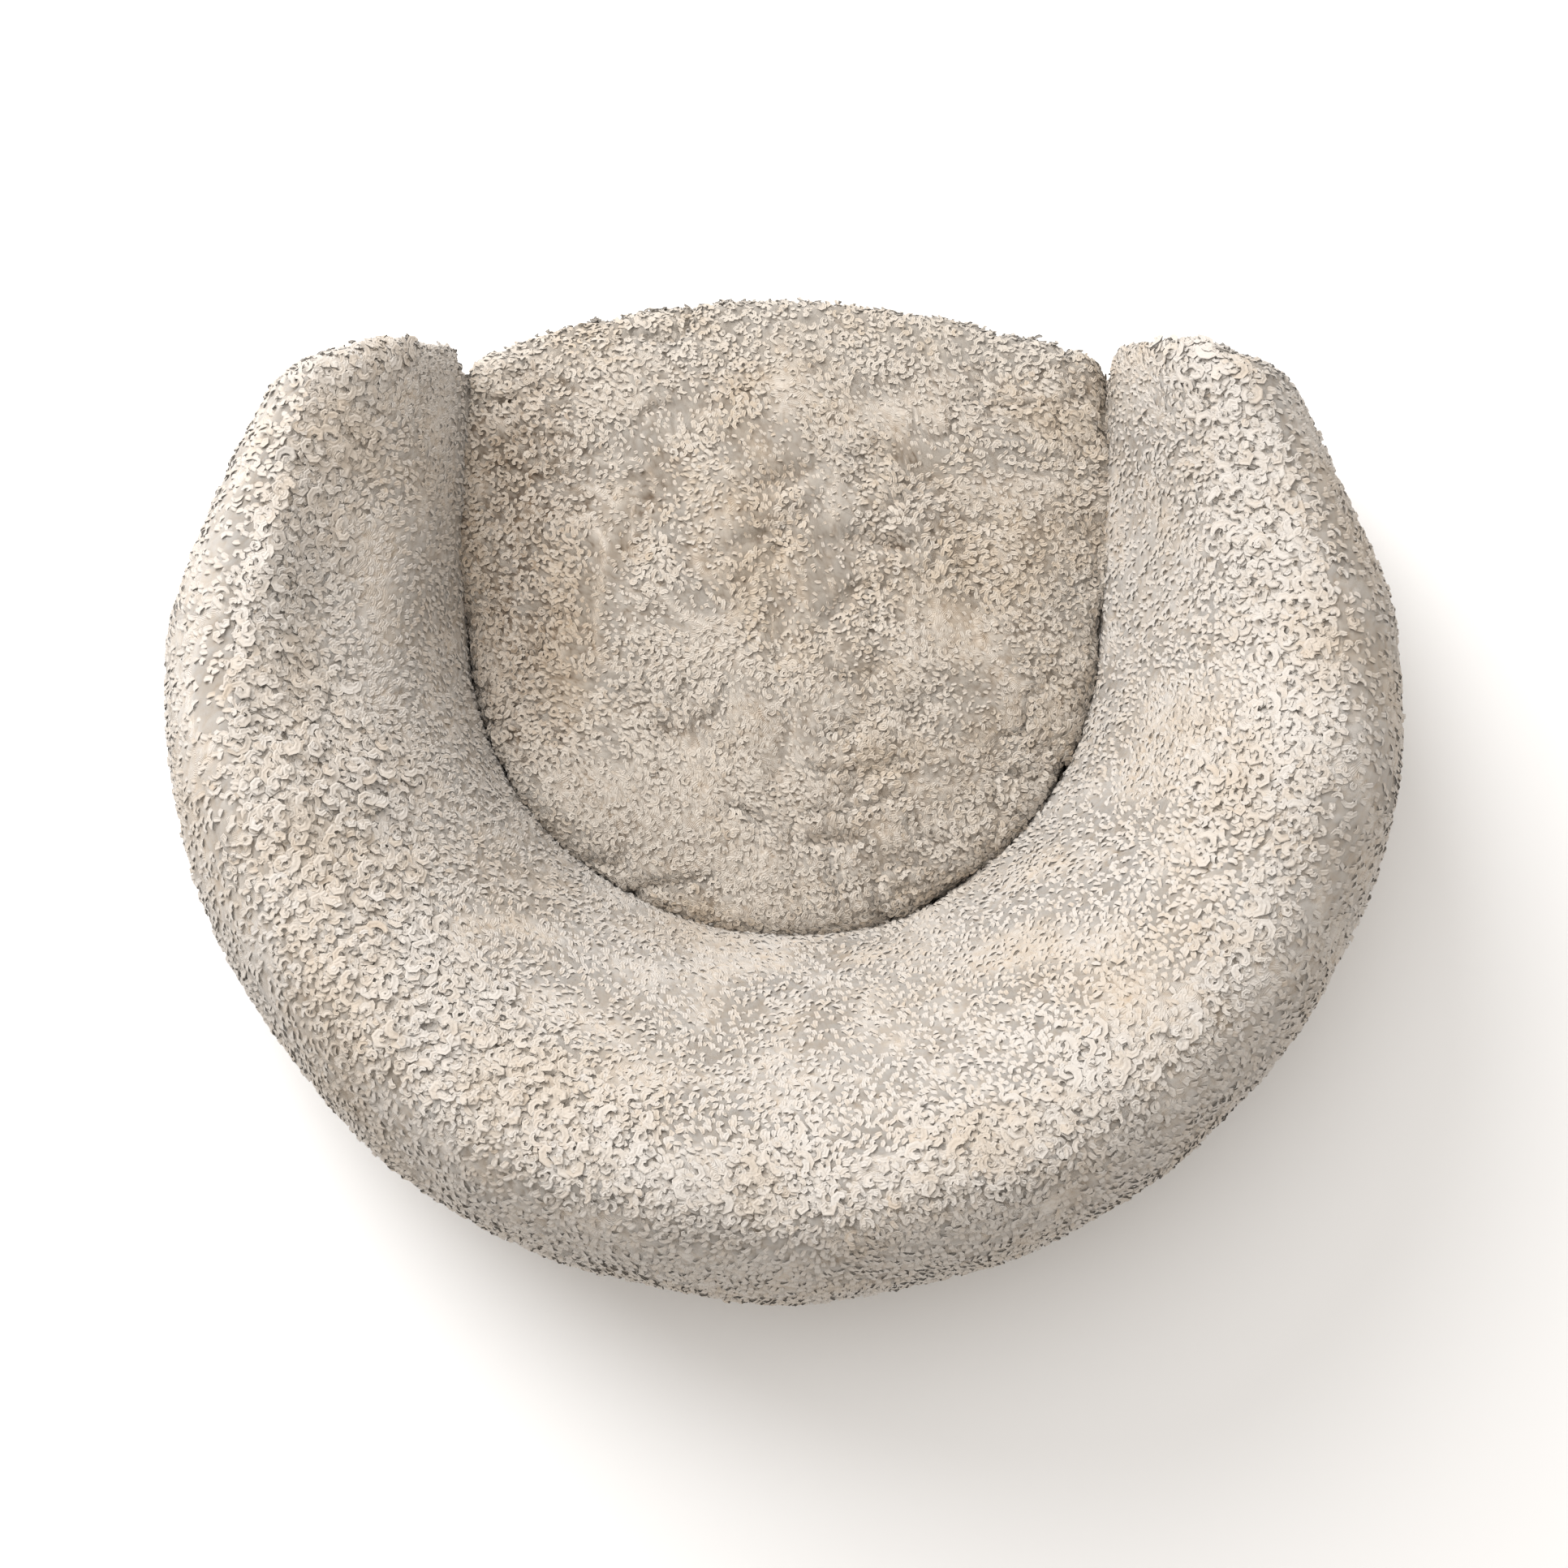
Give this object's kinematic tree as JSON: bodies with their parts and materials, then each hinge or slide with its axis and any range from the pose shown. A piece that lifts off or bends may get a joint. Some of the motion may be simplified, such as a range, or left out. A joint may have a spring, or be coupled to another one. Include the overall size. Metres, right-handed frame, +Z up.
{
  "type": "pet cushion bed",
  "caption": "Round sheepskin pet bed: a C-shaped bolster, open at the mouth, on a thin foam base round a lift-out cushion.",
  "frame": {"origin": "middle of the footprint box, on the floor", "axes": "+Z up; the mouth faces -Y and the closed back faces +Y; left and right arms are at -X and +X"},
  "size_m": [0.7188, 0.596, 0.265],
  "materials": {
    "sheepskin": "matte",
    "seat_sheepskin": "matte",
    "canvas": "matte",
    "lining_cloth": "matte",
    "foam": "matte",
    "memory_foam": "matte",
    "wadding": "matte",
    "grip_cloth": "matte",
    "zip_tape": "matte",
    "zip_metal": "satin",
    "touch_fastener": "matte"
  },
  "bodies": {
    "bed": {"bolster_inner_panel": "sheepskin", "bolster_outer_panel": "sheepskin", "arm_facing_left": "sheepskin", "arm_facing_right": "sheepskin", "well_lining": "lining_cloth", "crest_seam_tape": "canvas", "bolster_wadding": "wadding", "bolster_foam_right": "foam", "bolster_foam_back": "foam", "bolster_foam_left": "foam", "plinth_band": "canvas", "front_binding": "canvas", "base_underside": "grip_cloth", "base_foam": "foam", "base_lining": "lining_cloth", "base_hook_strip_left": "touch_fastener", "base_hook_strip_right": "touch_fastener", "plinth_zip_tape_upper": "zip_tape", "plinth_zip_tape_lower": "zip_tape", "plinth_zip_chain": "zip_metal", "plinth_zip_stop_left": "zip_metal", "plinth_zip_stop_right": "zip_metal"},
    "cushion": {"cushion_cover": "seat_sheepskin", "cushion_border": "canvas", "cushion_underside": "canvas", "cushion_wadding": "wadding", "cushion_memory_foam": "memory_foam", "cushion_support_foam": "foam", "cushion_zip_tape_front": "zip_tape", "cushion_zip_tape_rear": "zip_tape", "cushion_zip_chain": "zip_metal", "cushion_zip_stop_left": "zip_metal", "cushion_zip_stop_right": "zip_metal", "cushion_loop_strip_left": "touch_fastener", "cushion_loop_strip_right": "touch_fastener"},
    "plinth_slider": {"plinth_zip_slider": "zip_metal"},
    "plinth_pull": {"plinth_zip_pull": "zip_metal"},
    "cushion_slider": {"cushion_zip_slider": "zip_metal"}
  },
  "joints": [
    {"name": "cushion_lift", "type": "slide", "parent": "bed", "child": "cushion", "axis": [0, 0, 1], "range_m": [0, 0.26]},
    {"name": "plinth_zip_travel", "type": "hinge", "parent": "bed", "child": "plinth_slider", "pos_m": [0, -0.062, 0.024], "axis": [0, 0, 1], "range_deg": [0, 116.89]},
    {"name": "plinth_pull_swing", "type": "hinge", "parent": "plinth_slider", "child": "plinth_pull", "pos_m": [0.29527, 0.11914, 0.024], "axis": [0.5229, -0.8524, 0], "range_deg": [-4, 150]},
    {"name": "cushion_zip_travel", "type": "slide", "parent": "cushion", "child": "cushion_slider", "axis": [-1, 0, 0], "range_m": [0, 0.2618]}
  ]
}
